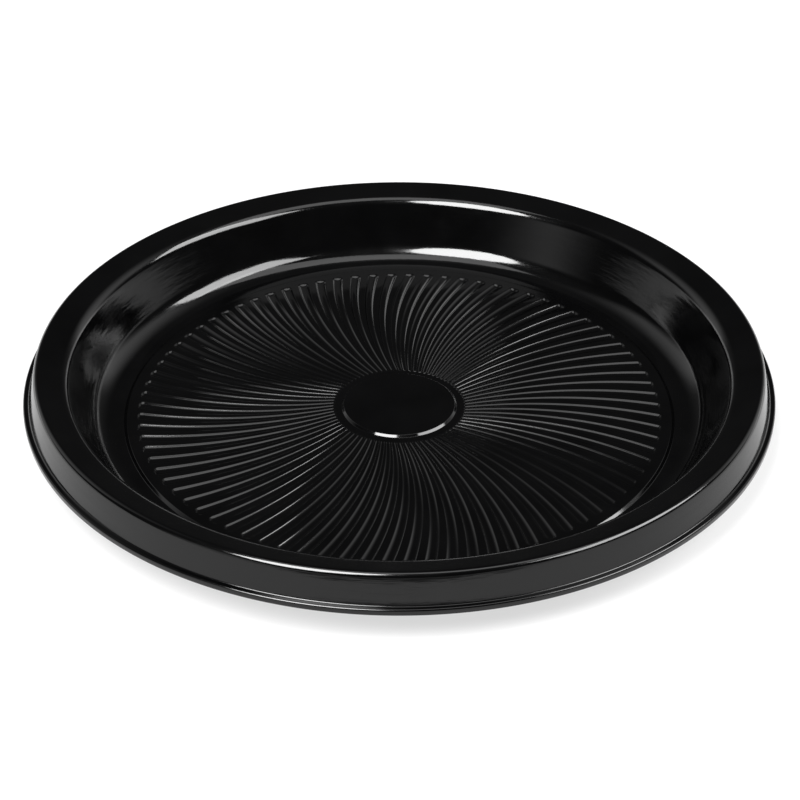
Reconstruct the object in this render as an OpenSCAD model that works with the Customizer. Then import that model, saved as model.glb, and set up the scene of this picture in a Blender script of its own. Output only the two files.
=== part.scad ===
// Round serving tray, vacuum formed from one sheet of black plastic.
// Frame: +Z up, origin at the centre of the tray on the plane it stands on.
// Every zone below is a band of the same sheet, so neighbours meet face to face.

/* [Overall] */
// Outside diameter over the turned-down lip
tray_d = 406.4; // [340:0.4:470]
// Height of the top of the rim shoulder above the table
tray_h = 37.4; // [36:0.1:40]
// Thickness of the sheet
sheet_t = 0.8; // [0.6:0.05:1.0]

/* [Floor] */
// Radius of the raised floor panel, at the top of its edge
panel_r = 149.0; // [147:0.5:150]
// Height of the floor panel's top face
panel_z = 2.0; // [1.8:0.1:2.4]
// Radius of the standing ring's outer edge, where the wall starts to curve up
stand_r = 153.8; // [153:0.1:155]
// Slope of the step from the floor panel down into the drip channel
channel_a = 36.87; // [30:0.01:45]

/* [Centre medallion] */
// Radius of the medallion's flat top
medal_r = 30.1; // [26:0.1:31]
// Rise of the medallion above the floor panel
medal_h = 1.2; // [1.0:0.1:1.4]
// Width of the medallion's sloped edge
medal_edge = 1.8; // [1.6:0.1:2.2]

/* [Swirl ribs] */
// Number of ribs
rib_n = 82; // [60:1:82]
// Turn of the whole rib pattern about the tray's axis
rib_phase = 0.7; // [0:0.1:6]
// Radius of the arc that each rib follows in plan
rib_arc_r = 212.8; // [205:0.1:230]
// Distance of the arc's centre from the tray's axis
rib_arc_c = 223.3; // [220:0.1:226]
// Radius at which a rib starts, at its shallow inner end
rib_in_r = 36.6; // [36:0.1:45]
// Radius of the deep outer end's centre
rib_out_r = 140.4; // [130:0.1:141]
// Width of a rib at its outer end
rib_w_out = 6.4; // [4:0.1:6.6]
// Depth of a rib below the panel at its outer end
rib_d_out = 1.15; // [0.8:0.05:1.2]
// Width of a rib at its inner end
rib_w_in = 2.2; // [1.8:0.1:2.3]
// Depth of a rib below the panel at its inner end
rib_d_in = 0.4; // [0.2:0.05:0.6]
// Thickness of the sheet in a rib's side walls, thinned by stretching
rib_wall = 0.5; // [0.4:0.05:0.6]

/* [Side wall] */
// Radius of the cove between the standing ring and the wall
cove_r = 15.7; // [14:0.1:17]
// Slope of the wall from the horizontal
wall_a = 65; // [62:0.5:68]
// Length of the straight part of the wall, along its slope
wall_l = 22.6; // [21:0.1:23]

/* [Rim] */
// Radius of the rounding from the wall to the rim
rim_in_r = 7.7; // [6:0.1:9]
// Slope of the rim, rising outwards
rim_a = 14.6; // [12:0.1:17]
// Radius of the rounded outer shoulder
shoulder_r = 2.85; // [2.4:0.05:3.2]

/* [Skirt and lip] */
// Draft of the skirt from the vertical
skirt_a = 14; // [12:0.5:15]
// Height of the lid ledge's top face above the table
ledge_z = 21.5; // [20:0.1:22.5]
// Radius of the inside corner between skirt and lid ledge
corner_r = 0.8; // [0.6:0.05:1.2]
// Radius of the rounding over the lip
lip_r = 1.0; // [0.9:0.05:1.3]
// Height of the lip's free edge above the table
lip_z = 18.2; // [17:0.1:19]

/* [Hidden] */
$fn = 240;
t = sheet_t;
// one straight facet of a bend's section spans this angle
bend_step = 4;

// Medallion
medal_a = atan(medal_h / medal_edge);
medal_o = t * tan(medal_a / 2);

// Drip channel
chan_w = (panel_z - t) / tan(channel_a);
chan_o = t * tan(channel_a / 2);

// Wall: centre of the cove, and the two ends of the straight wall (upper face)
cove_c = [stand_r, t + cove_r];
wall_0 = cove_c + cove_r * [sin(wall_a), -cos(wall_a)];
wall_1 = wall_0 + wall_l * [cos(wall_a), sin(wall_a)];

// Rim: centre of its inner rounding, start of the sloped face
rimr_c = wall_1 + rim_in_r * [sin(wall_a), -cos(wall_a)];
rim_0 = rimr_c + rim_in_r * [-sin(rim_a), cos(rim_a)];
// the shoulder's centre is set by the tray's height
shd_z = tray_h - shoulder_r;
rim_l = (shd_z + shoulder_r * cos(rim_a) - rim_0[1]) / sin(rim_a);
rim_1 = rim_0 + rim_l * [cos(rim_a), sin(rim_a)];
shd_c = rim_1 + shoulder_r * [sin(rim_a), -cos(rim_a)];

// Skirt: upper face from the shoulder to the inside corner
skirt_0 = shd_c + shoulder_r * [cos(skirt_a), sin(skirt_a)];
cor_z = ledge_z + corner_r;
skirt_l = (skirt_0[1] - (cor_z - corner_r * sin(skirt_a))) / cos(skirt_a);
skirt_1 = skirt_0 + skirt_l * [sin(skirt_a), -cos(skirt_a)];
cor_c = skirt_1 + corner_r * [cos(skirt_a), sin(skirt_a)];
lip_c = [tray_d / 2 - lip_r, ledge_z - lip_r];

// Ribs: each is pressed down into the floor along an arc, and is widest and
// deepest at its outer end.
// angle on the arc, seen from its centre, of a point at radius q from the axis
function arc_at(q) = acos((pow(rib_arc_c, 2) + pow(rib_arc_r, 2) - pow(q, 2))
                          / (2 * rib_arc_c * rib_arc_r));
arc_in = arc_at(rib_in_r);
arc_out = arc_at(rib_out_r);
rib_sweep = arc_out - arc_in;
rib_chord = 2 * rib_arc_r * sin(rib_sweep / 2);
rib_tilt = atan((rib_d_out - rib_d_in) / rib_chord);
rib_spread = atan((rib_w_out - rib_w_in) / 2 / rib_chord);

// Points along an arc of radius r about c, from angle a0 to a1
function arc(c, r, a0, a1) =
    let (n = max(3, ceil(abs(a1 - a0) / bend_step)))
    [for (i = [0:n]) let (a = a0 + (a1 - a0) * i / n) c + r * [cos(a), sin(a)]];
function turned(v) = [for (i = [len(v) - 1:-1:0]) v[i]];

// One turned zone of the sheet, from its upper path and its lower path
module zone(upper, lower) {
    rotate_extrude(angle = 360) polygon(concat(upper, turned(lower)));
}

module center_medallion() {
    color([0.07, 0.07, 0.07]) rotate_extrude(angle = 360) polygon([
        [0, panel_z + medal_h - t],
        [medal_r - medal_o, panel_z + medal_h - t],
        [medal_r + medal_edge - medal_o, panel_z - t],
        [medal_r + medal_edge, panel_z - t],
        [medal_r + medal_edge, panel_z],
        [medal_r, panel_z + medal_h],
        [0, panel_z + medal_h]]);
}

// The flat panel between the ribs, which open into its top face
module floor_panel() {
    color([0.08, 0.08, 0.08]) translate([0, 0, panel_z - t]) linear_extrude(height = t)
        difference() {
            circle(r = panel_r - 0.5);
            circle(r = medal_r + medal_edge);
            for (i = [0:rib_n - 1]) rotate(rib_phase + i * 360 / rib_n)
                translate([0, -rib_arc_c]) rib_plan(0);
        }
}

// Plan of one rib: the gap between two arcs that spread apart towards the
// outer end, seen from the centre of its own arc
module rib_plan(inset) {
    tip = rib_arc_r * [cos(90 - arc_in), sin(90 - arc_in)];
    intersection() {
        difference() {
            translate(tip) rotate(rib_spread) translate(-tip)
                circle(r = rib_arc_r + rib_w_in / 2 - inset, $fn = 720);
            translate(tip) rotate(-rib_spread) translate(-tip)
                circle(r = rib_arc_r - rib_w_in / 2 + inset, $fn = 720);
        }
        translate([0, rib_arc_c]) difference() {
            circle(r = rib_out_r + rib_w_out / 2 - inset);
            circle(r = rib_in_r - rib_w_in / 2 + inset);
        }
        // keeps only the arc's side that this rib uses
        square([rib_arc_r, 2 * rib_arc_r]);
    }
}

// Everything above the rib's sloping bottom, lowered by drop
module above_bottom(drop) {
    rotate([0, 0, 90 - arc_out])
    translate([rib_arc_r, 0, panel_z - rib_d_out - drop])
    rotate([0, 0, rib_sweep / 2])
    rotate([rib_tilt, 0, 0])
    translate([-25, -25, 0]) cube([50, rib_chord + 50, 15]);
}

// One rib: a shallow trough of the same sheet, open at the top
module swirl_rib() {
    translate([0, -rib_arc_c, 0]) difference() {
        intersection() {
            linear_extrude(height = panel_z) rib_plan(0);
            above_bottom(t);
        }
        intersection() {
            linear_extrude(height = 2 * panel_z) rib_plan(rib_wall);
            above_bottom(0);
        }
    }
}

module swirl_ribs() {
    color([0.10, 0.10, 0.10])
        for (i = [0:rib_n - 1]) rotate([0, 0, rib_phase + i * 360 / rib_n]) swirl_rib();
}

module drip_channel() {
    color([0.05, 0.05, 0.05]) rotate_extrude(angle = 360) polygon([
        [panel_r - 0.5, panel_z],
        [panel_r, panel_z],
        [panel_r + chan_w, t],
        [stand_r, t],
        [stand_r, 0],
        [panel_r + chan_w - chan_o, 0],
        [panel_r - chan_o, panel_z - t],
        [panel_r - 0.5, panel_z - t]]);
}

module side_wall() {
    n = t * [sin(wall_a), -cos(wall_a)];
    color([0.06, 0.06, 0.06]) zone(
        concat(arc(cove_c, cove_r, -90, wall_a - 90), [wall_1]),
        concat(arc(cove_c, cove_r + t, -90, wall_a - 90), [wall_1 + n]));
}

module rim() {
    color([0.09, 0.09, 0.09]) zone(
        concat(arc(rimr_c, rim_in_r, 90 + wall_a, 90 + rim_a),
               arc(shd_c, shoulder_r, 90 + rim_a, skirt_a)),
        concat(arc(rimr_c, rim_in_r - t, 90 + wall_a, 90 + rim_a),
               arc(shd_c, shoulder_r - t, 90 + rim_a, skirt_a)));
}

module outer_skirt() {
    n = -t * [cos(skirt_a), sin(skirt_a)];
    color([0.16, 0.16, 0.16]) zone([skirt_0, skirt_1], [skirt_0 + n, skirt_1 + n]);
}

module edge_lip() {
    edge = [tray_d / 2, lip_z];
    color([0.08, 0.08, 0.08]) zone(
        concat(arc(cor_c, corner_r, 180 + skirt_a, 270), arc(lip_c, lip_r, 90, 0), [edge]),
        concat(arc(cor_c, corner_r + t, 180 + skirt_a, 270), arc(lip_c, lip_r - t, 90, 0),
               [edge - [t, 0]]));
}

floor_panel();
center_medallion();
swirl_ribs();
drip_channel();
side_wall();
rim();
outer_skirt();
edge_lip();
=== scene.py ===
import math

import bpy
import numpy as np
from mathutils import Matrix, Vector


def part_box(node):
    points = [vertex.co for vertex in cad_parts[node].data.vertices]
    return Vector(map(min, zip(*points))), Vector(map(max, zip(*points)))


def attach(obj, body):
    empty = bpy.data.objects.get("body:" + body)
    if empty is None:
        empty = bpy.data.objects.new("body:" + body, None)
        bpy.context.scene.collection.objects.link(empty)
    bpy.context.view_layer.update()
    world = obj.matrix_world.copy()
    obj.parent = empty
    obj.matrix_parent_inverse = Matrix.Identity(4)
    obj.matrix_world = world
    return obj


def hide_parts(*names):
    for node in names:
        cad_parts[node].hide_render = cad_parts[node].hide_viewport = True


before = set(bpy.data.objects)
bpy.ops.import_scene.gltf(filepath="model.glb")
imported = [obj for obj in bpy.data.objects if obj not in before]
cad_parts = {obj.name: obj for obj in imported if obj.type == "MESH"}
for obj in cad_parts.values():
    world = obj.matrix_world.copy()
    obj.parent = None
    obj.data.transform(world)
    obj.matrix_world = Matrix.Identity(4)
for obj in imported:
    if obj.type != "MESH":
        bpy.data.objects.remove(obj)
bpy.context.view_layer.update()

MM = 0.001

# ---------------------------------------------------------------- dimensions
# The outer radius, the heights and the sheet's thickness are taken from the CAD boxes; lengths below are in
# millimetres.
lip_lo, lip_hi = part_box("edge_lip")
R_OUT = min(-lip_lo[0], -lip_lo[1], lip_hi[0], lip_hi[1]) / MM - 0.005
Z_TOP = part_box("rim")[1][2] / MM
PANEL_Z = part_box("floor_panel")[1][2] / MM
T = (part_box("floor_panel")[1][2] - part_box("floor_panel")[0][2]) / MM
MEDAL_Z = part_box("center_medallion")[1][2] / MM
LIP_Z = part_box("edge_lip")[0][2] / MM
SEAM_IN, SEAM_OUT = 33.8, 152.2

# Ribs: the same arc, count and ends as the CAD's ribs
RIB_N = 82
RIB_R, RIB_C = 212.8, 223.3
RIB_IN, RIB_OUT = 36.6, 141.6
END_STEEP = 1.6                   # a rib's outer end is steeper than its sides
RIB_PHASE = math.radians(0.7)
HALF_OUT, HALF_IN = 3.2, 1.1      # half width of a rib at its two ends
DEEP_OUT, DEEP_IN = 1.17, 0.46    # depth of a rib at its two ends


def section(path, radius, step):
    """A polyline [(r, z), ...] with its inner corners rounded to a radius."""
    out = [np.array(path[0], float)]
    for a, b, c, rad in zip(path[:-2], path[1:-1], path[2:], radius):
        a, b, c = (np.array(v, float) for v in (a, b, c))
        u, w = (a - b) / np.linalg.norm(a - b), (c - b) / np.linalg.norm(c - b)
        turn = math.pi - math.acos(max(-1, min(1, float(u @ w))))
        if rad <= 0 or turn < 1e-3:
            out.append(b)
            continue
        cut = rad * math.tan(turn / 2)
        centre = b + (u + w) / np.linalg.norm(u + w) * rad / math.cos(turn / 2)
        p0, p1 = b + u * cut - centre, b + w * cut - centre
        n = max(2, int(math.ceil(math.degrees(turn) / step)))
        for i in range(n + 1):
            k = i / n
            v = (math.sin((1 - k) * turn) * p0 + math.sin(k * turn) * p1) / math.sin(turn)
            out.append(centre + v)
    out.append(np.array(path[-1], float))
    return np.array(out)


def arc(cx, cz, r, a0, a1, step):
    n = max(2, int(math.ceil(abs(a1 - a0) / step)))
    t = np.radians(np.linspace(a0, a1, n + 1))
    return np.stack([cx + r * np.cos(t), cz + r * np.sin(t)], 1)


def body_profile(off, step):
    """The path of the upper face (off 0) or of the lower face (off T)."""
    wa, ra, sa = 65.0, 14.6, 14.0
    cove = (153.8, T + 15.7)
    w0 = np.array(cove) + 15.7 * np.array([math.sin(math.radians(wa)), -math.cos(math.radians(wa))])
    w1 = w0 + 22.6 * np.array([math.cos(math.radians(wa)), math.sin(math.radians(wa))])
    rimc = w1 + 7.7 * np.array([math.sin(math.radians(wa)), -math.cos(math.radians(wa))])
    r0 = rimc + 7.7 * np.array([-math.sin(math.radians(ra)), math.cos(math.radians(ra))])
    shz = Z_TOP - 2.85
    rl = (shz + 2.85 * math.cos(math.radians(ra)) - r0[1]) / math.sin(math.radians(ra))
    r1 = r0 + rl * np.array([math.cos(math.radians(ra)), math.sin(math.radians(ra))])
    shc = r1 + 2.85 * np.array([math.sin(math.radians(ra)), -math.cos(math.radians(ra))])
    s0 = shc + 2.85 * np.array([math.cos(math.radians(sa)), math.sin(math.radians(sa))])
    ledge = 21.5
    cor_z = ledge + 0.8
    sl = (s0[1] - (cor_z - 0.8 * math.sin(math.radians(sa)))) / math.cos(math.radians(sa))
    s1 = s0 + sl * np.array([math.sin(math.radians(sa)), -math.cos(math.radians(sa))])
    corc = s1 + 0.8 * np.array([math.cos(math.radians(sa)), math.sin(math.radians(sa))])
    lipc = (R_OUT - 1.0, ledge - 1.0)
    parts = [
        np.array([[SEAM_OUT, T - off]]),
        arc(*cove, 15.7 + off, -90, wa - 90, 4.5 * step),
        arc(*rimc, 7.7 - off, 90 + wa, 90 + ra, 3.6 * step),
        arc(*shc, 2.85 - off, 90 + ra, sa, 6.5 * step),
        arc(*corc, 0.8 + off, 180 + sa, 270, 15 * step),
        arc(*lipc, 1.0 - off, 90, 0, 11 * step),
    ]
    # the long straight runs get a few rows of their own
    full = [parts[0]]
    for a, b in zip(parts[:-1], parts[1:]):
        gap = np.linalg.norm(b[0] - a[-1])
        n = int(gap // 4.0)
        if n:
            k = np.linspace(0, 1, n + 2)[1:-1, None]
            full.append(a[-1] * (1 - k) + b[0] * k)
        full.append(b)
    return np.concatenate(full), R_OUT - off


def shell(name, rows_xyz):
    """A closed tube of rows; each row is a closed ring of points, in mm."""
    rows = np.array(rows_xyz)
    nr, nc, _ = rows.shape
    v = rows.reshape(-1, 3) * MM
    i, j = np.meshgrid(np.arange(nr), np.arange(nc), indexing="ij")
    i2, j2 = (i + 1) % nr, (j + 1) % nc
    quads = np.stack([i * nc + j, i * nc + j2, i2 * nc + j2, i2 * nc + j], -1).reshape(-1, 4)
    return solid(name, v, quads.tolist())


def solid(name, verts, faces, sharp=38):
    mesh = bpy.data.meshes.new(name)
    mesh.from_pydata([tuple(map(float, p)) for p in verts], [], faces)
    mesh.validate()
    mesh.update()
    obj = bpy.data.objects.new(name, mesh)
    bpy.context.scene.collection.objects.link(obj)
    import bmesh
    bm = bmesh.new()
    bm.from_mesh(mesh)
    bmesh.ops.recalc_face_normals(bm, faces=bm.faces)
    if bm.calc_volume(signed=True) < 0:
        bmesh.ops.reverse_faces(bm, faces=bm.faces)
    bm.to_mesh(mesh)
    bm.free()
    mesh.shade_smooth()
    mesh.set_sharp_from_angle(angle=math.radians(sharp))
    return obj


def ring(r, z, n):
    a = np.linspace(0, 2 * math.pi, n, endpoint=False)
    return np.stack([r * np.cos(a), r * np.sin(a), np.full(n, float(z))], 1)


# ---------------------------------------------------------------- medallion
def build_medallion():
    n = 240
    top = section([(0.01, MEDAL_Z), (30.4, MEDAL_Z), (31.6, PANEL_Z), (SEAM_IN, PANEL_Z)],
                  [0.5, 0.5], 6)
    extra = np.array([[r, MEDAL_Z] for r in (7.0, 14.0, 21.0, 27.0)])
    top = np.concatenate([extra, top[1:]])
    bot = section([(0.01, MEDAL_Z - T), (30.07, MEDAL_Z - T), (31.27, PANEL_Z - T),
                   (SEAM_IN, PANEL_Z - T)], [0.6, 1.0], 8)[1:]
    verts, faces = [], []
    rows = []
    for r, z in list(top) + list(bot[::-1]):
        rows.append(len(verts))
        verts.extend(ring(r, z, n))
    for a, b in zip(rows[:-1], rows[1:]):
        for j in range(n):
            k = (j + 1) % n
            faces.append([a + j, b + j, b + k, a + k])
    c0, c1 = len(verts), len(verts) + 1
    verts.extend([np.array([0, 0, MEDAL_Z]), np.array([0, 0, MEDAL_Z - T])])
    for j in range(n):
        k = (j + 1) % n
        faces.append([c0, rows[0] + j, rows[0] + k])
        faces.append([c1, rows[-1] + k, rows[-1] + j])
    return solid("tray_medallion", np.array(verts) * MM, faces)


# ---------------------------------------------------------------- ribbed floor
def arc_angle(rho):
    """Angle on the rib's arc, seen from the arc's centre, at radius rho."""
    return np.arccos((RIB_C ** 2 + RIB_R ** 2 - rho ** 2) / (2 * RIB_C * RIB_R))


A_IN, A_OUT = float(arc_angle(RIB_IN)), float(arc_angle(RIB_OUT))


def rib_size(a):
    """Half width and depth of a rib at an angle on its arc."""
    k = np.clip((a - A_IN) / (A_OUT - A_IN), 0, 1)
    return HALF_IN + (HALF_OUT - HALF_IN) * k, DEEP_IN + (DEEP_OUT - DEEP_IN) * k


def rib_depth(x, y):
    """Depth below the panel of rib 0, whose arc is centred on the -Y axis."""
    ax, ay = x, y + RIB_C
    a = np.arctan2(ax, ay)
    # both ends are rounded, the outer one over a shorter run
    along = np.clip(a, A_IN, A_OUT)
    run = np.abs(a - along) * RIB_R * np.where(a > A_OUT, END_STEEP, 1.0)
    d = np.hypot(np.hypot(ax, ay) - RIB_R, run)
    half, deep = rib_size(along)
    # flat near the middle, steep towards the edges
    f = deep * (1 - (d / (0.96 * half)) ** 2.7)
    k = 0.03 + 0.04 * deep
    h = 0.5 * (f + np.sqrt(f * f + k * k))
    # level again by the middle of the land between two ribs
    far = np.clip((d / half - 1.0) / 0.42, 0, 1)
    return h * (1 - far) ** 2 * (deep / (deep + 0.25 * k * k / deep))


def step_z(rho):
    """Height of the floor's flat zones: panel, sloped step, channel."""
    p = section([(100, PANEL_Z), (149.0, PANEL_Z), (150.6, T), (170, T)], [0.8, 0.8], 6)
    return float(np.interp(rho, p[:, 0], p[:, 1]))


def build_floor():
    step = section([(148.0, PANEL_Z), (149.0, PANEL_Z), (150.6, T), (SEAM_OUT, T)], [0.8, 0.8], 9)
    rhos = [SEAM_IN, 34.9, 35.7, 36.4, 37.1]
    rhos += list(np.linspace(39.0, 135.5, 27))
    rhos += [137.4, 139.0, 140.3, 141.2, 141.7, 142.1, 142.45, 142.75, 143.05, 143.35, 143.65, 144.0, 144.5, 145.2]
    rhos += [p[0] for p in step]
    rhos = sorted(set(round(float(r), 4) for r in rhos))
    rel = [-1.12, -0.98, -0.84, -0.58, 0.0, 0.58, 0.84, 0.98, 1.12]
    top = []
    for rho in rhos:
        use = min(max(rho, RIB_IN), RIB_OUT)
        a = float(arc_angle(use))
        # azimuth of the rib's centre line at this radius
        cx, cy = RIB_R * math.sin(a), RIB_R * math.cos(a) - RIB_C
        az = math.atan2(cy, cx)
        tangent = math.atan2(-math.sin(a), math.cos(a))
        lean = abs(math.cos(tangent - az))
        half = float(rib_size(a)[0])
        pitch = 2 * math.pi / RIB_N
        offs = [half * k / (use * max(lean, 0.2)) for k in rel]
        lim = 0.47 * pitch
        if offs[-1] > lim:
            offs = [o * lim / offs[-1] for o in offs]
        offs = [-0.5 * pitch] + offs
        local = np.array([az + o for o in offs])
        x, y = rho * np.cos(local), rho * np.sin(local)
        h = np.zeros(len(local))
        for m in (-1, 0, 1):
            c, s = math.cos(m * pitch), math.sin(m * pitch)
            h = np.maximum(h, rib_depth(c * x + s * y, -s * x + c * y))
        if rho > 146 or rho < 34.5:
            h = h * 0
        z = step_z(rho) - h
        row = []
        for i in range(RIB_N):
            t = local + i * pitch + RIB_PHASE
            row.append(np.stack([rho * np.cos(t), rho * np.sin(t), z], 1))
        top.append(np.concatenate(row))
    top = np.array(top)
    bot = top[::-1].copy()
    bot[:, :, 2] -= T
    return shell("tray_floor", np.concatenate([top, bot]))


# ---------------------------------------------------------------- wall to lip
def build_body():
    n = 480
    up, _ = body_profile(0.0, 1.0)
    low, _ = body_profile(T, 1.6)
    # the free edge is rounded over half the sheet's thickness
    half = T / 2
    edge = arc(R_OUT - half, LIP_Z + half, half, 0, -180, 25)
    prof = np.concatenate([up, edge, low[::-1]])
    rows = [ring(r, z, n) for r, z in prof]
    return shell("tray_body", rows)


medallion = build_medallion()
floor = build_floor()
body = build_body()

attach(medallion, "root")
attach(floor, "root")
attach(body, "root")
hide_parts("center_medallion")
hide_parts("floor_panel", "swirl_ribs", "drip_channel")
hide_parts("side_wall", "rim", "outer_skirt", "edge_lip")


# ---------------------------------------------------------------- materials
def gloss_black(name, draw=0.0, shade=1.0):
    mat = bpy.data.materials.new(name)
    mat.use_nodes = True
    nt = mat.node_tree
    nt.nodes.clear()
    N, L = nt.nodes.new, nt.links.new
    out = N("ShaderNodeOutputMaterial")
    bsdf = N("ShaderNodeBsdfPrincipled")
    bsdf.inputs["IOR"].default_value = 1.5
    bsdf.inputs["Specular IOR Level"].default_value = 0.34
    bsdf.inputs["Metallic"].default_value = 0.0
    L(bsdf.outputs[0], out.inputs[0])
    tc = N("ShaderNodeTexCoord")

    # colour: carbon black with a faint cloudiness of a few centimetres
    cloud = N("ShaderNodeTexNoise")
    cloud.inputs["Scale"].default_value = 35.0
    cloud.inputs["Detail"].default_value = 4.0
    L(tc.outputs["Object"], cloud.inputs["Vector"])
    ramp = N("ShaderNodeValToRGB")
    ramp.color_ramp.elements[0].position = 0.3
    ramp.color_ramp.elements[1].position = 0.7
    ramp.color_ramp.elements[0].color = (0.00025 * shade, 0.00025 * shade, 0.00028 * shade, 1)
    ramp.color_ramp.elements[1].color = (0.0006 * shade, 0.0006 * shade, 0.00065 * shade, 1)
    L(cloud.outputs["Fac"], ramp.inputs["Fac"])
    L(ramp.outputs["Color"], bsdf.inputs["Base Color"])

    # gloss: a little uneven where the sheet met the mould
    patch = N("ShaderNodeTexNoise")
    patch.inputs["Scale"].default_value = 60.0
    patch.inputs["Detail"].default_value = 5.0
    L(tc.outputs["Object"], patch.inputs["Vector"])
    rough = N("ShaderNodeMapRange")
    rough.inputs["From Min"].default_value = 0.3
    rough.inputs["From Max"].default_value = 0.7
    rough.inputs["To Min"].default_value = 0.07
    rough.inputs["To Max"].default_value = 0.13
    L(patch.outputs["Fac"], rough.inputs["Value"])
    L(rough.outputs["Result"], bsdf.inputs["Roughness"])

    # surface: orange peel about 3 mm across and a few micrometres deep
    peel = N("ShaderNodeTexNoise")
    peel.inputs["Scale"].default_value = 330.0
    peel.inputs["Detail"].default_value = 2.0
    L(tc.outputs["Object"], peel.inputs["Vector"])
    bump = N("ShaderNodeBump")
    bump.inputs["Distance"].default_value = 0.000012
    bump.inputs["Strength"].default_value = 0.6
    L(peel.outputs["Fac"], bump.inputs["Height"])
    last = bump
    if draw > 0:
        # draw marks: faint ripples, some 20 mm long and 3 mm apart, that run
        # round the wall where the sheet slid on the mould
        sep = N("ShaderNodeSeparateXYZ")
        L(tc.outputs["Object"], sep.inputs[0])
        az = N("ShaderNodeMath")
        az.operation = "ARCTAN2"
        L(sep.outputs["Y"], az.inputs[0])
        L(sep.outputs["X"], az.inputs[1])
        comb = N("ShaderNodeCombineXYZ")
        L(az.outputs[0], comb.inputs["X"])
        L(sep.outputs["Z"], comb.inputs["Y"])
        mapping = N("ShaderNodeMapping")
        mapping.inputs["Scale"].default_value = (8.0, 330.0, 1.0)
        L(comb.outputs[0], mapping.inputs["Vector"])
        lines = N("ShaderNodeTexNoise")
        lines.inputs["Scale"].default_value = 1.0
        lines.inputs["Detail"].default_value = 3.0
        L(mapping.outputs[0], lines.inputs["Vector"])
        b2 = N("ShaderNodeBump")
        b2.inputs["Distance"].default_value = 0.00012
        b2.inputs["Strength"].default_value = draw
        L(lines.outputs["Fac"], b2.inputs["Height"])
        L(bump.outputs["Normal"], b2.inputs["Normal"])
        last = b2
    L(last.outputs["Normal"], bsdf.inputs["Normal"])
    return mat


mat_floor = gloss_black("gloss_plastic_floor")
mat_ribs = gloss_black("gloss_plastic_ribs")
mat_wall = gloss_black("gloss_plastic_wall", draw=0.5)
medallion.data.materials.append(mat_floor)
floor.data.materials.append(mat_ribs)
body.data.materials.append(mat_wall)


# ---------------------------------------------------------------- stage
def stage_floor():
    m = bpy.data.meshes.new("stage_floor")
    x, y0, y1 = 2.6, -0.42, 4.0
    m.from_pydata([(-x, y0, 0), (x, y0, 0), (x, y1, 0), (-x, y1, 0)], [], [[0, 1, 2, 3]])
    o = bpy.data.objects.new("stage_floor", m)
    bpy.context.scene.collection.objects.link(o)
    mat = bpy.data.materials.new("stage_white")
    mat.use_nodes = True
    b = mat.node_tree.nodes["Principled BSDF"]
    b.inputs["Base Color"].default_value = (0.16, 0.16, 0.16, 1)
    b.inputs["Roughness"].default_value = 1.0
    b.inputs["Specular IOR Level"].default_value = 0.0
    b.inputs["Emission Color"].default_value = (1, 1, 1, 1)
    b.inputs["Emission Strength"].default_value = 0.66
    m.materials.append(mat)
    return o


def softbox(name, azimuth, elevation, dist, wide, high, power, shape="RECTANGLE"):
    """A rectangular light facing the tray; wide and high are in degrees."""
    a, e = math.radians(azimuth), math.radians(elevation)
    d = Vector((math.cos(e) * math.cos(a), math.cos(e) * math.sin(a), math.sin(e)))
    data = bpy.data.lights.new(name, "AREA")
    data.shape = shape
    data.size = 2 * dist * math.tan(math.radians(wide / 2))
    data.size_y = 2 * dist * math.tan(math.radians(high / 2))
    data.energy = power * data.size * data.size_y
    o = bpy.data.objects.new(name, data)
    o.location = d * dist
    o.rotation_euler = (-d).to_track_quat("-Z", "Y").to_euler()
    bpy.context.scene.collection.objects.link(o)
    return o


stage_floor()
softbox("key", -124, 55, 2.0, 30, 38, 84.0, "ELLIPSE")
softbox("side", -12, 45, 2.0, 42, 24, 50.0)
softbox("top", 0, 80, 2.2, 24, 60, 9.0)

# The room: dark in the middle, with pale walls to the left and the right
world = bpy.data.worlds.new("studio")
bpy.context.scene.world = world
world.use_nodes = True
wn = world.node_tree
wn.nodes.clear()
wout = wn.nodes.new("ShaderNodeOutputWorld")
bg = wn.nodes.new("ShaderNodeBackground")
wtc = wn.nodes.new("ShaderNodeTexCoord")
wsep = wn.nodes.new("ShaderNodeSeparateXYZ")
wn.links.new(wtc.outputs["Generated"], wsep.inputs[0])


def world_ramp(source, stops, lo, hi):
    """Grey levels against one coordinate of the direction, from lo to hi."""
    mr = wn.nodes.new("ShaderNodeMapRange")
    mr.inputs["From Min"].default_value = lo
    mr.inputs["From Max"].default_value = hi
    wn.links.new(source, mr.inputs["Value"])
    node = wn.nodes.new("ShaderNodeValToRGB")
    node.color_ramp.interpolation = "EASE"
    while len(node.color_ramp.elements) < len(stops):
        node.color_ramp.elements.new(0.5)
    for e, (pos, v) in zip(node.color_ramp.elements, stops):
        e.position, e.color = (pos - lo) / (hi - lo), (v, v, v, 1)
    wn.links.new(mr.outputs["Result"], node.inputs["Fac"])
    return node.outputs["Color"]


def world_math(op, a, b=None):
    n = wn.nodes.new("ShaderNodeVectorMath")
    n.operation = op
    wn.links.new(a, n.inputs[0])
    if b is not None:
        wn.links.new(b, n.inputs[1])
    return n.outputs[0]


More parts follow.
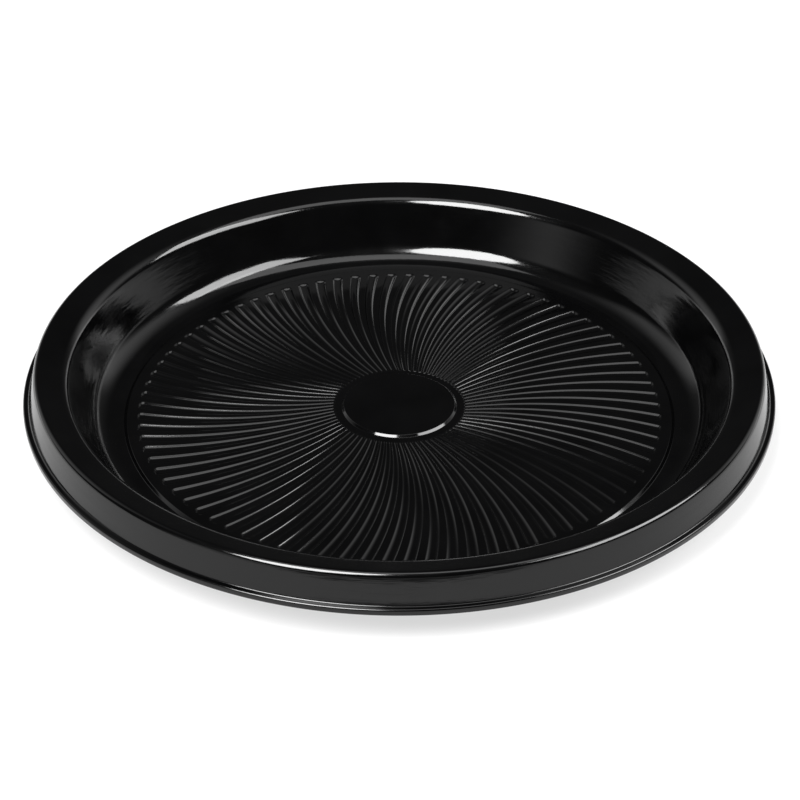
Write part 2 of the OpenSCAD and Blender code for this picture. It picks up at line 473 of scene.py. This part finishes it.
walls = world_math("MULTIPLY",
                   world_ramp(wsep.outputs["X"], [(-0.92, 0.0), (-0.75, 1.1), (-0.2, 0.0), (0.2, 0.0), (0.75, 1.3), (0.92, 0.0)], -1, 1),
                   world_ramp(wsep.outputs["Z"], [(-0.1, 0.5), (0.0, 1.0), (0.2, 0.9), (0.6, 0.8), (0.95, 0.3)], -1, 1))
walls = world_math("MULTIPLY", walls,
                   world_ramp(wsep.outputs["Y"], [(0.1, 0.0), (0.35, 1.0), (0.68, 1.0), (0.82, 0.12)], -1, 1))
skyline = world_math("MULTIPLY",
                     world_ramp(wsep.outputs["X"], [(-0.5, 1.0), (-0.25, 0.0), (0.25, 0.0), (0.5, 1.0)], -1, 1),
                     world_ramp(wsep.outputs["Z"], [(-0.04, 0.0), (0.03, 0.9), (0.1, 0.9), (0.2, 0.0)], -1, 1))
walls = world_math("ADD", walls, skyline)
room = world_ramp(wsep.outputs["Z"], [(-0.08, 0.17), (-0.03, 0.9), (0.03, 0.9), (0.06, 0.05), (0.55, 0.05), (0.93, 0.10), (0.99, 0.3)], -1, 1)
glow = world_math("MULTIPLY",
                  world_ramp(wsep.outputs["X"], [(-1.0, 0.0), (-0.78, 0.75), (-0.42, 0.0)], -1, 1),
                  world_ramp(wsep.outputs["Y"], [(-0.9, 0.0), (-0.52, 1.0), (-0.12, 0.0)], -1, 1))
glow = world_math("MULTIPLY", glow,
                  world_ramp(wsep.outputs["Z"], [(0.0, 0.0), (0.3, 1.0), (0.62, 0.0)], -1, 1))
wn.links.new(world_math("ADD", world_math("ADD", walls, room), glow), bg.inputs["Color"])
wn.links.new(bg.outputs[0], wout.inputs["Surface"])

# ---------------------------------------------------------------- camera
target = Vector((0, 0, 0.005575))
elev = math.radians(33.46)
cam_data = bpy.data.cameras.new("camera")
cam_data.lens = 99.95
cam_data.sensor_width = 36.0
cam_data.shift_x = 0.0009
cam = bpy.data.objects.new("camera", cam_data)
cam.location = target + 1.2192 * Vector((0, -math.cos(elev), math.sin(elev)))
cam.rotation_euler = (math.pi / 2 - elev, 0, 0)
bpy.context.scene.collection.objects.link(cam)
bpy.context.scene.camera = cam
bpy.context.scene.view_settings.view_transform = "Standard"
bpy.context.scene.view_settings.look = "None"
